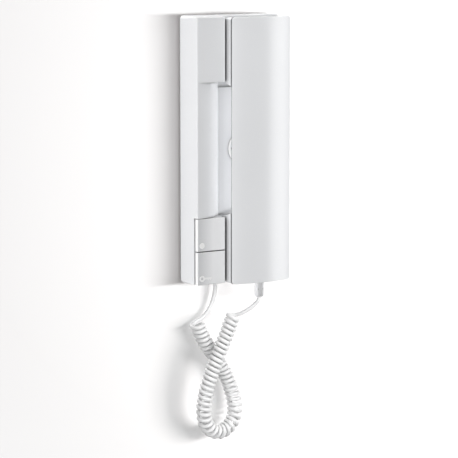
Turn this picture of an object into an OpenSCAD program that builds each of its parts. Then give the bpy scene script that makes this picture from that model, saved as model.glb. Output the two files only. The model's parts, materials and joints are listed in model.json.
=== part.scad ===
// Wall door-phone with a handset on a curly cord.
// Pieces are drawn lying down: x across, y up the wall, z out from the wall. stand() sets them upright.

/* [Base] */
// Width of the base at the wall
base_w = 90; // [86:1:110]
// Height of the base at the wall
base_h = 222; // [216:1:250]
// Gap between the cover's rear edge and the wall
rear_gap = 1; // [0.5:0.1:1.6]
// Front of the raised strip, from the wall
strip_z = 26.5; // [25:0.5:30]
// Width of the raised strip
strip_w = 27; // [25:0.1:28]
// Front of the low panel, from the wall
panel_z = 12; // [12:0.1:13]
// How far each side leans in from rear to front
side_draft = 1.4; // [0.4:0.2:2.4]
// How far the top and the bottom lean in from rear to front
end_draft = 1; // [0.4:0.2:1.6]
// Wall of the cover
cover_wall = 2; // [1.6:0.1:2.2]
// Radius of the cover's four long corners
corner_r = 3.5; // [1:0.5:5]
// Radius of the cover's front edges
edge_r = 0.8; // [0.3:0.1:1.2]

/* [Recess and seats] */
// Height of the strip's block above the finger recess
block_h = 53; // [51:0.5:56]
// Height of the strip's foot below the finger recess, with the two buttons
foot_h = 55.3; // [54:0.1:58]
// Reach of the recess's curved side, from the strip's left edge to the panel
recess_reach = 29; // [28:0.2:31]
// Floor of the ear seat, from the wall
ear_seat_z = 8; // [7.5:0.1:9]
// How far the ear seat reaches below the upper block
ear_seat_drop = 5.7; // [3:0.1:8]
// Corner radius of the ear seat
ear_seat_r = 1.6; // [0.8:0.2:3]
// Floor of the mouth seat, from the wall
mouth_seat_z = 10.2; // [10:0.1:11]
// Radius of the mouth seat's curved top edge
mouth_seat_r = 110; // [90:1:160]
// How far the mouth seat's crest reaches above the buttons
mouth_seat_rise = 5.7; // [3:0.1:8]
// Width of the sloped edge of the mouth seat
mouth_seat_slope = 3; // [1:0.2:4]
// Room around the handset in its seats
seat_clear = 0.7; // [0.5:0.1:0.9]
// Gap between the handset's cups and the seat floors
seat_gap = 0.4; // [0.3:0.1:0.8]

/* [Wall plate] */
// Thickness of the wall plate
plate_t = 2; // [1.6:0.1:2.4]
// Gap between the wall plate and the cover
plate_clear = 0.4; // [0.2:0.1:0.8]
// Corner radius of the wall plate
plate_r = 4; // [1:0.5:8]
// Distance between the two wall screws
mount_pitch = 83.5; // [76:0.5:100]
// Radius of the holes for the wall screws
mount_hole_r = 2.2; // [1.8:0.1:2.6]
// Width of the cable entry
entry_w = 26; // [16:1:28]
// Height of the cable entry
entry_h = 16; // [10:1:18]
// Height of the cable entry's middle on the plate
entry_y = 28; // [26:0.5:30]

/* [Buttons] */
// Height of the upper button
light_h = 26.9; // [24:0.1:28]
// Thickness of a button's cap
cap_t = 3.6; // [3:0.1:5]
// Wall of a button's cap
cap_wall = 1.6; // [1.2:0.1:2]
// Gap between a button's cap and the cover below it
cap_gap = 1.6; // [1.6:0.1:2.4]
// Gap between the buttons
button_gap = 0.8; // [0.5:0.1:1.2]
// Width of a button's cross-shaped stem
stem_w = 12; // [10:0.5:14]
// Thickness of the stem's two bars
stem_t = 2.4; // [1.6:0.1:3.2]
// Gap around a button's stem
stem_clear = 0.4; // [0.3:0.1:0.6]
// Travel of a button
press = 1.2; // [0.6:0.1:1.2]

/* [Handset] */
// Width of the handset
handset_w = 57.2; // [56:0.1:59]
// How far the handset hangs below the foot of the strip
foot_drop = 0.6; // [0:0.1:1]
// Gap between the handset and the raised strip
handset_gap = 1.5; // [0.8:0.1:2]
// Long front edges of the handset, from the wall
handset_edge_z = 34.4; // [33:0.1:37]
// Rise of the crowned face above those edges
crown = 5; // [3:0.1:7]
// Wall of the handset's shells
shell_wall = 2; // [1.6:0.1:2.4]
// Corner radius of the handset's outline
handset_r = 2.8; // [2.6:0.1:5]
// Height of the front shell's rim
rim_h = 1; // [0.8:0.1:1.6]
// Width of the groove between the two shells
groove = 0.8; // [0.3:0.1:1]
// Depth of that groove
groove_depth = 1; // [0.5:0.1:1.2]
// How far each cup stays off its end of the finger recess
cup_inset = 0.5; // [0.3:0.1:1.5]
// How far each cup flares towards the grip at the front
cup_flare = 4; // [2:0.5:7]
// Where that flare starts, from the wall
flare_z = 19.5; // [17:0.5:22]
// How far the outer end of each cup leans in towards the wall
cup_lean = 2.1; // [1.6:0.1:3]
// Size of the chamfer along the cups' rear edges
cup_edge = 1.6; // [0.8:0.1:2.2]
// Width of the grip at its rear
grip_w = 34; // [28:1:40]
// Rear of the grip, from the wall
grip_z = 24; // [22:0.5:26]
// Size of the chamfer along the grip's rear edges
grip_edge = 2.4; // [1:0.2:4]

/* [Sound] */
// Place of the call speaker across the panel, from the middle
grille_x = 8; // [7:0.5:12]
// Outer radius of the ring round the call speaker's grille
grille_r = 13; // [11:0.5:13.5]
// Width of that ring
grille_ring = 1.4; // [1:0.1:2]
// How far that ring stands above the panel
grille_rise = 0.7; // [0.3:0.1:1]
// Width of a slot in the grille, and of the bar beside it
grille_slot = 1.6; // [1.2:0.1:2]
// Radius of the ear speaker
ear_r = 16; // [14:0.5:16.5]
// Place of the ear speaker's middle, below the top of the handset
ear_down = 32; // [31.5:0.1:32.5]
// Depth of the dish in the ear cup
dish_depth = 1.1; // [0.5:0.1:1.3]
// Radius of the ball that gives the dish its curve
dish_ball = 60; // [50:1:80]
// Radius of a sound hole
sound_hole_r = 1; // [0.6:0.1:1.2]
// Radius of the microphone
mic_r = 4.85; // [4:0.05:5.5]
// Place of the microphone's middle, above the foot of the handset
mic_up = 28.6; // [27:0.1:30]

/* [Cord] */
// Diameter of the cord
cord_d = 3; // [2.6:0.1:3]
// Radius of a curl, to the cord's middle
curl_r = 4.85; // [4.6:0.05:5]
// Place where the cord leaves the base, from the base's left side
exit_in = 31.5; // [31:0.1:32]
// Place out from the wall where the cord leaves the base
exit_z = 5.2; // [5:0.1:5.4]
// How far the bush stands out of the base
bush_out = 2.6; // [1.5:0.1:3]
// Place of the plug across the handset
plug_x = 14.8; // [14:0.1:16]
// Width of the plug
plug_w = 6.5; // [6:0.1:7]
// Depth of the plug
plug_t = 5; // [4.6:0.1:5.2]
// How far the plug's boot hangs below the handset
boot_drop = 13.4; // [12:0.2:14]

/* [Hidden] */
$fn = 64;

// How far a cut runs past the face that it opens
over = 1;
// Gap between pieces that fit together
fit = 0.3;
// Thickness of a rib
rib_t = 1.2;
// How far a section passes the faces that trim it
slip = 0.05;
// Length over which the slope of the cord is taken, in rings
step = 0.01;

// The cover's leaning sides and ends, by distance from the wall
function side_x(z) = base_w / 2 - side_draft * (z - rear_gap) / (strip_z - rear_gap);
function end_y(z) = base_h / 2 - end_draft * (z - rear_gap) / (strip_z - rear_gap);
strip_left = -side_x(strip_z);
strip_right = strip_left + strip_w;
block_top = end_y(strip_z);
recess_top = block_top - block_h;
recess_bottom = foot_h - block_top;
panel_under = panel_z - cover_wall;
recess_r = (recess_reach ^ 2 + (strip_z - panel_z) ^ 2) / (2 * (strip_z - panel_z));
recess_foot = strip_left + recess_reach;

// Buttons and the deck under them
cap_z = strip_z - cap_t;
deck_z = cap_z - cap_gap;
button_x = strip_left + strip_w / 2;
light_top = recess_bottom - button_gap / 2;
light_bottom = light_top - light_h;
door_top = light_bottom - button_gap;
door_bottom = -block_top;
light_y = (light_top + light_bottom) / 2;
door_y = (door_top + door_bottom) / 2;
barb = 0.8;
barb_h = 1.6;

// Handset
hand_left = strip_right + handset_gap;
hand_right = hand_left + handset_w;
hand_x = (hand_left + hand_right) / 2;
hand_top = block_top;
hand_bottom = -block_top - foot_drop;
ear_cup_end = recess_top + cup_inset;
mouth_cup_end = cup_inset - recess_bottom;
ear_y = hand_top - ear_down;
mic_y = hand_bottom + mic_up;
crown_r = ((handset_w / 2) ^ 2 + crown ^ 2) / (2 * crown);
crown_z = handset_edge_z + crown;
split_z = handset_edge_z - rim_h;
back_z = split_z - groove;
ear_z = ear_seat_z + seat_gap;
mouth_z = mouth_seat_z + seat_gap;
ear_floor = ear_z + shell_wall;
mouth_floor = mouth_z + shell_wall;
grip_inset = 0.6 * groove_depth;
lip_in = groove_depth + 0.8 * (shell_wall - groove_depth);

// Handset screws, from the rear of a cup into a boss of the front shell
ear_screw = [hand_x, hand_top - 9.4];
mouth_screw = [hand_x, -mouth_cup_end - 8];
screw_head_r = 2.6;
screw_head_t = 1.8;
screw_r = 1.1;
screw_l = 14;
screw_sink = 3.6;
post_wall = 1.6;
boss_r = 3;

// Board, its standoffs and screws
board_z = plate_t + 1;
board_t = 1.6;
board_top = board_z + board_t;
board_left = strip_left + 3.6;
board_right = grille_x - 17;
board_upper = recess_top - 5;
board_lower = -base_h / 2 + 8;
foot_top = light_top - 7.6;
standoff_r = 2.6;
board_screw_r = 1;
board_head_r = 2.1;
board_head_t = 1.5;
seat_edge_y = recess_top - ear_seat_drop - cover_wall;
upper_screw_y = seat_edge_y - board_head_r - fit;

// Hook switch, with a flanged plunger that the mouth cup holds in
hook = [hand_x + 11, board_lower + 11];
hook_r = 2;
hook_flange_r = 3;
hook_flange_t = 0.5;
hook_body_r = 4.6;
hook_body_z = mouth_seat_z - cover_wall - 0.2;
hook_floor = board_top + 0.4;
hook_roof = 0.8;
hook_tip_z = mouth_z - fit;
foot_right = hook.x + hook_body_r + 1.6;
standoffs = [
    [board_left + 4, upper_screw_y], [board_right - 4, upper_screw_y],
    [board_left + 4, foot_top + 7], [foot_right - 4, board_lower + 4]
];

// Terminal block
poles = 6;
pole_pitch = 5.5;
terminal_w = 11;
terminal_t = 11.5;
terminal_gap = 7.4;
terminal = [board_left + 7.5, upper_screw_y - terminal_gap - poles * pole_pitch / 2];
pole_screw_r = 1.6;
pole_screw_h = 2;
wire_hole_r = 1.5;

// Switches under the buttons
switch_w = 7;
switch_t = 6;
plunger_r = 1.6;
plunger_h = 4.4;
plunger_in = 2.4;
plunger_z = board_top + switch_t - plunger_in;
stem_z = plunger_z + plunger_h;

// Call speaker
speaker_r = grille_r + 1;
speaker_t = 5.4;
speaker_rim = 1;
magnet_r = 7;
magnet_t = 2;

// Ear speaker, gasket and microphone
gasket_t = 1.5;
gasket_w = 3.5;
ear_rim = 1.5;
ear_basket = 3.6;
ear_magnet_r = 8;
ear_magnet_t = 3;
ear_rib_h = 4.6;
boot_wall = 1.5;
mic_t = 5;

// Latches that hold the cover on the wall plate
latch_in = 22.5;
latch_x = base_w / 2 - latch_in;
latch_w = 8;
latch_z = board_z;
latch_t = 1.6;
latch_nib = 1;
latch_y = end_y(latch_z) - cover_wall;

// Bush, lead and connector of the cord in the base
exit_x = exit_in - base_w / 2;
bush_r = 2.2;
bush_tip_r = 1.8;
bush_flange_r = 2.6;
bush_flange_t = 1.6;
wall_in_y = -end_y(exit_z) + cover_wall;
wall_out_y = -end_y(exit_z);
bush_end_y = wall_out_y - bush_out;
bush_seat_y = wall_in_y + bush_flange_r * end_draft / (strip_z - rear_gap) + slip;
connector_w = 8;
connector_l = 6;
connector_t = 3;
connector_y = board_lower - 1;

// Plug and jack of the handset
plug_z = back_z - 0.8 - plug_t;
plug_mid_z = plug_z + plug_t / 2;
plug_bottom = hand_bottom - boot_drop;
plug_top = hand_bottom + 13;
plug_groove_w = 2.2;
plug_groove_t = 0.6;
dimple_x = 1.9;
dimple_y = hand_bottom - 6.8;
dimple_r = 0.4;
jack_w = 11;
jack_l = 15;
jack_z = plug_z - 4.2;
jack_wall = 1.8;
jack_y = hand_bottom + shell_wall + 1.6;
contact_count = 4;
contact_pitch = 1.2;
contact_w = 0.6;
contact_l = 4;
contact_t = 0.8;

// Points that steer the middle of the curls, with two curls to a span
curl_axis = [
    [-36.6, -138.6, 9], [-33.8, -146, 9], [-30.6, -153.4, 9], [-26.8, -160.6, 9],
    [-22.2, -167.4, 9], [-17.2, -173.8, 9], [-12.4, -180.4, 9], [-8.2, -187.2, 9],
    [-4.6, -194.6, 9.2], [-1.4, -202.4, 9.8], [1.2, -211, 10.4], [2.8, -220.4, 11],
    [1, -230.4, 12], [-6, -237.8, 13.1], [-16, -240.2, 14.3], [-25.4, -236.4, 15.6],
    [-31.4, -228.2, 16.8], [-33.2, -218.4, 18], [-32.8, -209.2, 19], [-31.4, -200.8, 20],
    [-29.2, -192.6, 21], [-26.6, -184.8, 21.8], [-23.8, -177, 22.6], [-20.8, -169.4, 23.2],
    [-17.6, -161.8, 23.8], [-14.4, -154.2, 24.2], [-11.2, -146.6, 24.6], [-8, -139, 24.9],
    [-4.8, -131.4, 25.2]
];
// Free stretches between the curls and the base, and between the curls and the handset
base_tail_points = [
    [-13.6, -117.5, 5.2], [-14.2, -122.5, 5], [-15.6, -128, 4.8], [-17.8, -133, 4.6], [-20.6, -137.4, 4.4],
    [-24, -140.8, 4.2], [-27.8, -143.2, 4]
];
handset_tail_points = [
    [-2.2, -139.6, 20], [1.8, -138.2, 22.2], [5.8, -135.6, 24.8], [9.6, -132.4, 27], [12.6, -129.2, 28.6],
    [14.4, -126.6, 29.4]
];
rings_per_curl = 8;
rings_per_span = 2 * rings_per_curl;
last_ring = (len(curl_axis) - 3) * rings_per_span;
curl_sides = 6;
tail_sides = 8;
down = [0, -1, 0];

function unit(v) = v / norm(v);
function rect(x0, y0, x1, y1) = [[x0, y0], [x1, y0], [x1, y1], [x0, y1]];

// An outline with its corners cut off by the given lengths along their sides
function chamfered(p, cuts) = [
    for (i = [0 : len(p) - 1])
        let (n = len(p), a = unit(p[(i + n - 1) % n] - p[i]), b = unit(p[(i + 1) % n] - p[i]))
        each cuts[i] > 0 ? [p[i] + cuts[i] * a, p[i] + cuts[i] * b] : [p[i]]
];

module stand() rotate([90, 0, 0]) children();

// An outline in x and y, between two distances from the wall
module slab(z0, z1) translate([0, 0, z0]) linear_extrude(z1 - z0) children();

// A section in x and z, run up the wall between two heights
module run_up(y0, y1) translate([0, y1, 0]) rotate([90, 0, 0]) linear_extrude(y1 - y0) children();

// A section in y and z, run across the wall
module run_across(x0, x1) translate([x0, 0, 0]) rotate([90, 0, 90]) linear_extrude(x1 - x0) children();

module box(low, high) translate(low) cube(high - low);

module rod(at, r, z0, z1) translate([at.x, at.y, z0]) cylinder(h = z1 - z0, r = r);

module ring(at, r_in, r_out, z0, z1) difference() {
    rod(at, r_out, z0, z1);
    rod(at, r_in, z0 - over, z1 + over);
}

// The sliver between a corner and its rounding, drawn out past the corner
module corner_sliver(before, at, after, r) {
    a = unit(before - at);
    b = unit(after - at);
    half = acos(a * b) / 2;
    middle = at + unit(a + b) * r / sin(half);
    difference() {
        polygon([at - over * unit(a + b), at + a * r / tan(half), middle, at + b * r / tan(half)]);
        translate(middle) circle(r);
    }
}

// An outline with its outer corners rounded where the radius isn't zero
module rounded(points, radii) {
    n = len(points);
    difference() {
        polygon(points);
        for (i = [0 : n - 1])
            if (radii[i] > 0)
                corner_sliver(points[(i + n - 1) % n], points[i], points[(i + 1) % n], radii[i]);
    }
}

// Section of the base below the panel; e is the inset from the outside
function panel_points(e, rear) = [
    [-side_x(rear) + e, rear], [side_x(rear) - e, rear],
    [side_x(panel_z) - e, panel_z - e], [-side_x(panel_z) + e, panel_z - e]
];

// Section of the base through a block at the strip
function block_points(front, e, rear) = [
    [-side_x(rear) + e, rear], [side_x(rear) - e, rear], [side_x(panel_z) - e, panel_z - e],
    [strip_right - e, panel_z - e], [strip_right - e, front - e], [-side_x(front) + e, front - e]
];
block_radii = [0, 0, edge_r, 0, edge_r, edge_r];

// Section of the base through the finger recess
module recess_section(e, rear) {
    intersection() {
        polygon([
            [-side_x(rear) + e, rear], [recess_foot, rear],
            [recess_foot, strip_z], [strip_left + e, strip_z]
        ]);
        translate([strip_left, strip_z - recess_r]) circle(recess_r - e, $fn = 192);
    }
    polygon(panel_points(e, rear));
}

module end_section(e, rear) polygon([
    [-end_y(rear) + e, rear], [end_y(rear) - e, rear],
    [end_y(strip_z) - e, strip_z], [-end_y(strip_z) + e, strip_z]
]);

module cover_outside() intersection() {
    union() {
        run_up(recess_top, base_h / 2) rounded(block_points(strip_z, 0, rear_gap), block_radii);
        run_up(recess_bottom, recess_top) difference() {
            recess_section(0, rear_gap);
            corner_sliver(
                [-side_x(rear_gap), rear_gap], [strip_left, strip_z], [recess_foot, strip_z], edge_r);
        }
        run_up(-base_h / 2, recess_bottom) rounded(block_points(deck_z, 0, rear_gap), block_radii);
    }
    run_across(-base_w, base_w) end_section(0, rear_gap);
    slab(rear_gap, strip_z)
        rounded(rect(-base_w / 2, -base_h / 2, base_w / 2, base_h / 2), [for (i = [1 : 4]) corner_r]);
}

module cover_inside() {
    e = cover_wall;
    rear = rear_gap - over;
    intersection() {
        union() {
            run_up(recess_top + e, base_h / 2) polygon(block_points(strip_z, e, rear));
            run_up(recess_bottom + e, recess_top) recess_section(e, rear);
            run_up(-base_h / 2, recess_bottom - e) polygon(block_points(deck_z, e, rear));
            run_up(-base_h / 2, base_h / 2) polygon(panel_points(e, rear));
        }
        run_across(-base_w, base_w) end_section(e, rear);
    }
}

// Seats of the handset's cups; e grows a seat by the wall that carries it
module ear_seat(e) slab(ear_seat_z - e, strip_z + over)
    rounded(
        rect(strip_right - e, recess_top - ear_seat_drop - e,
            hand_right + seat_clear + e, hand_top - cup_lean + seat_clear + e),
        [ear_seat_r, ear_seat_r, ear_seat_r, 0]);

module mouth_seat(e) {
    middle = [hand_x, recess_bottom + mouth_seat_rise - mouth_seat_r];
    intersection() {
        union() {
            translate([middle.x, middle.y, mouth_seat_z - e])
                cylinder(h = panel_z - mouth_seat_z, r1 = mouth_seat_r - mouth_seat_slope + e,
                    r2 = mouth_seat_r + e, $fn = 256);
            rod(middle, mouth_seat_r + e, panel_z - e, strip_z + over, $fn = 256);
        }
        box([strip_right - e, hand_bottom + cup_lean - seat_clear - e, 0],
            [hand_right + seat_clear + e, 0, strip_z + 2 * over]);
    }
}

// Nibs of the latches, grown by c for their slots
module latch_nibs(c) for (side = [-1, 1], flip = [0, 1])
    mirror([0, flip, 0]) translate([side * latch_x, latch_y, latch_z])
        box([-latch_w / 2 - c, -plate_clear, -c], [latch_w / 2 + c, latch_nib + c, latch_t + c]);

module base_cover() color("white") stand() difference() {
    union() {
        difference() {
            cover_outside();
            difference() {
                cover_inside();
                ear_seat(cover_wall);
                mouth_seat(cover_wall);
            }
        }
        ring([grille_x, 0], speaker_r + fit, speaker_r + fit + rib_t,
            panel_under - speaker_t + 1, panel_under);
    }
    ear_seat(0);
    mouth_seat(0);
    rod([grille_x, 0], grille_r - grille_ring + fit, 0, strip_z);
    for (y = [light_y, door_y]) translate([button_x, y, deck_z])
        box([-stem_w / 2 - stem_clear, -stem_w / 2 - stem_clear, -cover_wall - over],
            [stem_w / 2 + stem_clear, stem_w / 2 + stem_clear, over]);
    rod(hook, hook_r + fit, 0, strip_z);
    translate([exit_x, wall_in_y + over, exit_z]) rotate([90, 0, 0])
        cylinder(h = cover_wall + 3 * over, r = bush_r + fit / 3);
    latch_nibs(fit);
}

module wall_plate() color("gainsboro") stand() {
    half_w = base_w / 2 - cover_wall - plate_clear;
    half_h = base_h / 2 - cover_wall - plate_clear;
    difference() {
        union() {
            slab(0, plate_t) rounded(rect(-half_w, -half_h, half_w, half_h), [for (i = [1 : 4]) plate_r]);
            for (at = standoffs) rod(at, standoff_r, 0, board_z);
        }
        for (side = [-1, 1]) rod([0, side * mount_pitch / 2], mount_hole_r, -over, plate_t + over);
        translate([grille_x + 13, entry_y, 0])
            box([-entry_w / 2, -entry_h / 2, -over], [entry_w / 2, entry_h / 2, plate_t + over]);
        for (at = standoffs) rod(at, board_screw_r + 0.1, 0.6, board_z + over);
    }
    latch_nibs(0);
    for (side = [-1, 1], flip = [0, 1]) mirror([0, flip, 0])
        translate([side * latch_x, latch_y - plate_clear, 0])
            box([-latch_w / 2, -latch_t, plate_t / 2], [latch_w / 2, 0, latch_z + latch_t]);
}

// A ring that rests on the panel, and below it a slotted disc that fills the hole
module speaker_grille() color("whitesmoke") stand() translate([grille_x, 0, panel_z]) {
    disc_r = grille_r - grille_ring;
    slots = floor((disc_r - 3) / (2 * grille_slot));
    difference() {
        rotate_extrude() polygon([
            [0, fit - cover_wall], [disc_r, fit - cover_wall], [disc_r, 0], [grille_r, 0],
            [grille_r, grille_rise], [disc_r - 0.4, grille_rise], [disc_r - 0.4, 0], [0, 0]
        ]);
        for (i = [-slots : slots]) {
            y = 2 * i * grille_slot;
            half = sqrt((disc_r - 1.6) ^ 2 - (abs(y) + grille_slot / 2) ^ 2);
            box([-half, y - grille_slot / 2, -cover_wall - over], [half, y + grille_slot / 2, over]);
        }
    }
}

module call_speaker() color("dimgray") stand() translate([grille_x, 0, panel_under])
    rotate_extrude() polygon([
        [0, -speaker_t], [magnet_r, -speaker_t], [magnet_r, magnet_t - speaker_t],
        [magnet_r + 2, magnet_t - speaker_t], [speaker_r, -speaker_rim], [speaker_r, 0], [speaker_r - 2, 0],
        [magnet_r / 2, -2], [0, -1.2]
    ]);

module circuit_board() color("seagreen") stand() difference() {
    slab(board_z, board_top) polygon([
        [board_left, board_lower], [foot_right, board_lower], [foot_right, foot_top],
        [board_right, foot_top], [board_right, board_upper], [board_left, board_upper]
    ]);
    for (at = standoffs) rod(at, board_screw_r + fit, 0, board_top + over);
}

module board_screws() color("silver") stand() for (at = standoffs) {
    rod(at, board_screw_r, 1, board_top);
    difference() {
        rod(at, board_head_r, board_top, board_top + board_head_t);
        translate([at.x, at.y, board_top + board_head_t / 2])
            for (turn = [0, 90]) rotate(turn) box([-1.4, -0.3, 0], [1.4, 0.3, board_head_t]);
    }
}

module terminal_block() color("lightgray") stand() translate([terminal.x, terminal.y, board_top])
    difference() {
        half_l = poles * pole_pitch / 2;
        box([-terminal_w / 2, -half_l, 0], [terminal_w / 2, half_l, terminal_t]);
        for (i = [0 : poles - 1]) translate([0, (i + 0.5) * pole_pitch - half_l, 0]) {
            rod([0, 0], pole_screw_r + 0.2, terminal_t - pole_screw_h - 1, terminal_t + over);
            translate([0, 0, terminal_t / 3]) rotate([0, 90, 0]) cylinder(h = terminal_w, r = wire_hole_r);
        }
    }

module terminal_screws() color("silver") stand() {
    half_l = poles * pole_pitch / 2;
    translate([terminal.x, terminal.y, board_top + terminal_t])
        for (i = [0 : poles - 1]) translate([0, (i + 0.5) * pole_pitch - half_l, 0]) difference() {
            rod([0, 0], pole_screw_r, -pole_screw_h - 1, -1);
            box([-2 * pole_screw_r, -0.3, -1.8], [2 * pole_screw_r, 0.3, 0]);
        }
}

module key_switch(at) difference() {
    translate([at.x, at.y, board_top])
        box([-switch_w / 2, -switch_w / 2, 0], [switch_w / 2, switch_w / 2, switch_t]);
    rod(at, plunger_r + fit, plunger_z - press - fit, board_top + switch_t + over);
}

module light_switch() color("black") stand() key_switch([button_x, light_y]);

module door_switch() color("black") stand() key_switch([button_x, door_y]);

module light_plunger() color("orangered") stand() rod([button_x, light_y], plunger_r, plunger_z, stem_z);

module door_plunger() color("orangered") stand() rod([button_x, door_y], plunger_r, plunger_z, stem_z);

// A cap that covers the foot of the strip, on a cross-shaped stem with two barbs under the deck
module push_button(top, bottom) {
    y = (top + bottom) / 2;
    barb_top = deck_z - cover_wall - fit;
    difference() {
        run_up(bottom, top) rounded(rect(strip_left, cap_z, strip_right, strip_z), [0, 0, edge_r, edge_r]);
        box([strip_left + cap_wall, bottom + cap_wall, cap_z - over],
            [strip_right - cap_wall, top - cap_wall, strip_z - cap_wall]);
    }
    translate([button_x, y, 0]) {
        box([-stem_w / 2, -stem_t / 2, stem_z], [stem_w / 2, stem_t / 2, strip_z - cap_wall / 2]);
        box([-stem_t / 2, -stem_w / 2, stem_z], [stem_t / 2, stem_w / 2, strip_z - cap_wall / 2]);
        for (side = [0, 1]) mirror([side, 0, 0]) stem_barb(barb_top);
    }
}

// A barb that slopes out from the stem's foot to the underside of the deck
module stem_barb(top) run_up(-stem_t / 2, stem_t / 2) polygon([
    [stem_w / 2 - stem_t, top - barb_h], [stem_w / 2, top - barb_h],
    [stem_w / 2 + barb, top - barb_h / 3], [stem_w / 2 + barb, top], [stem_w / 2 - stem_t, top]
]);

module light_button() color("white") stand() push_button(light_top, light_bottom);

module door_button() color("white") stand() push_button(door_top, door_bottom);

module hook_switch() color("black") stand() difference() {
    rod(hook, hook_body_r, board_top, hook_body_z);
    rod(hook, hook_flange_r + fit, hook_floor, hook_body_z - hook_roof);
    rod(hook, hook_r + fit, hook_floor, hook_body_z + over);
}

module hook_plunger() color("ivory") stand() {
    flange_z = hook_floor + fit;
    rod(hook, hook_flange_r, flange_z, flange_z + hook_flange_t);
    rod(hook, hook_r, flange_z, hook_tip_z - 0.6);
    translate([hook.x, hook.y, hook_tip_z - 0.6]) cylinder(h = 0.6, r1 = hook_r, r2 = hook_r - 0.6);
}

module cord_bush() color("whitesmoke") stand() translate([exit_x, 0, exit_z]) rotate([90, 0, 0])
    rotate_extrude() polygon([
        [0, -bush_seat_y - bush_flange_t], [bush_flange_r, -bush_seat_y - bush_flange_t],
        [bush_flange_r, -bush_seat_y], [bush_r, -bush_seat_y], [bush_r, -wall_out_y],
        [bush_tip_r, -bush_end_y], [0, -bush_end_y]
    ]);

module cord_lead() color("whitesmoke") stand() translate([exit_x, connector_y, exit_z]) rotate([90, 0, 0])
    cylinder(h = connector_y - bush_seat_y - bush_flange_t, r = cord_d / 2);

module cord_connector() color("ivory") stand() translate([exit_x, connector_y, board_top]) difference() {
    box([-connector_w / 2, 0, 0], [connector_w / 2, connector_l, connector_t]);
    for (i = [-1.5 : 1.5]) translate([i * 1.8, connector_l - 2, 0])
        box([-0.5, 0, 1], [0.5, 2 + over, connector_t - 1]);
}

module handset_outline(e) rounded(
    rect(hand_left + e, hand_bottom + e, hand_right - e, hand_top - e), [for (i = [1 : 4]) handset_r - e]);

// One cup of the back shell, from inner to tip; e is the inset from the outside, sharp within
module cup(rear, inner, tip, e) {
    c = e > 0 ? 0 : cup_edge;
    lean_out = cup_lean * (crown_z - split_z) / (split_z - rear);
    intersection() {
        run_across(hand_left - over, hand_right + over) polygon(chamfered([
            [inner + e, rear + e], [tip - cup_lean - e, rear + e], [tip + lean_out - e, crown_z],
            [inner - cup_flare + e, crown_z], [inner - cup_flare + e, split_z], [inner + e, flare_z]
        ], [c, c, 0, 0, 0, 0]));
        run_up(0, tip + over) polygon(chamfered(
            rect(hand_left + e - slip, rear + e - slip, hand_right - e + slip, crown_z + over),
            [c, c, 0, 0]));
    }
}

module grip(e) {
    c = e > 0 ? 0 : grip_edge;
    top = crown_z + over;
    lean = (handset_w / 2 - grip_inset - grip_w / 2) / (back_z - grip_z);
    thick = e * norm([lean, 1]);
    rear_half = grip_w / 2 + lean * e - thick;
    front_half = grip_w / 2 + lean * (top - grip_z) - thick;
    run_up(-mouth_cup_end - 2 * shell_wall, ear_cup_end + 2 * shell_wall) polygon(chamfered([
        [hand_x - rear_half, grip_z + e], [hand_x + rear_half, grip_z + e],
        [hand_x + front_half, top], [hand_x - front_half, top]
    ], [c, c, 0, 0]));
}

module back_mass(e) intersection() {
    union() {
        cup(ear_z, ear_cup_end, hand_top, e);
        mirror([0, 1, 0]) cup(mouth_z, mouth_cup_end, -hand_bottom, e);
        grip(e);
    }
    slab(0, e > 0 ? split_z + over : back_z) handset_outline(e);
}

module screw_post(at, rear)
    rod(at, screw_head_r + fit + post_wall, rear + shell_wall / 2, rear + screw_sink + post_wall);

module screw_way(at, rear) {
    rod(at, screw_head_r + fit, rear - over, rear + screw_sink);
    rod(at, screw_r + fit, rear, rear + screw_sink + post_wall + over);
}

// Sound holes on rings round a middle one
module sound_holes(at, rings, pitch, r, z0, z1) {
    rod(at, r, z0, z1);
    for (k = [1 : rings], i = [1 : 6 * k]) {
        turn = 60 * i / k;
        rod(at + k * pitch * [cos(turn), sin(turn)], r, z0, z1);
    }
}

module handset_back() color("white") stand() {
    ear = [hand_x, ear_y];
    mic = [hand_x, mic_y];
    difference() {
        union() {
            difference() {
                back_mass(0);
                back_mass(shell_wall);
            }
            slab(back_z - 0.1, split_z) difference() {
                handset_outline(groove_depth);
                handset_outline(lip_in);
            }
            screw_post(ear_screw, ear_z);
            screw_post(mouth_screw, mouth_z);
            ring(ear, ear_r + fit, ear_r + fit + rib_t, ear_z + shell_wall / 2, ear_floor + ear_rib_h);
            ring(mic, mic_r + boot_wall + fit, mic_r + boot_wall + fit + rib_t, mouth_z + shell_wall / 2,
                mouth_floor + mic_t);
            for (side = [-1, 1]) translate([plug_x + side * jack_w / 4, jack_y + 2, 0])
                box([-rib_t / 2, 0, mouth_z + shell_wall / 2], [rib_t / 2, jack_l - 4, jack_z]);
        }
        screw_way(ear_screw, ear_z);
        screw_way(mouth_screw, mouth_z);
        translate([ear.x, ear.y, ear_z + dish_depth - dish_ball]) sphere(dish_ball, $fn = 192);
        sound_holes(ear, 2, 4, sound_hole_r, 0, ear_floor + over);
        sound_holes(mic, 1, 2.6, sound_hole_r / 2, 0, mouth_floor + over);
        translate([plug_x, hand_bottom, 0])
            box([-plug_w / 2 - fit, -over, plug_z - fit],
                [plug_w / 2 + fit, 2 * shell_wall, split_z + over]);
    }
}

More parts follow.
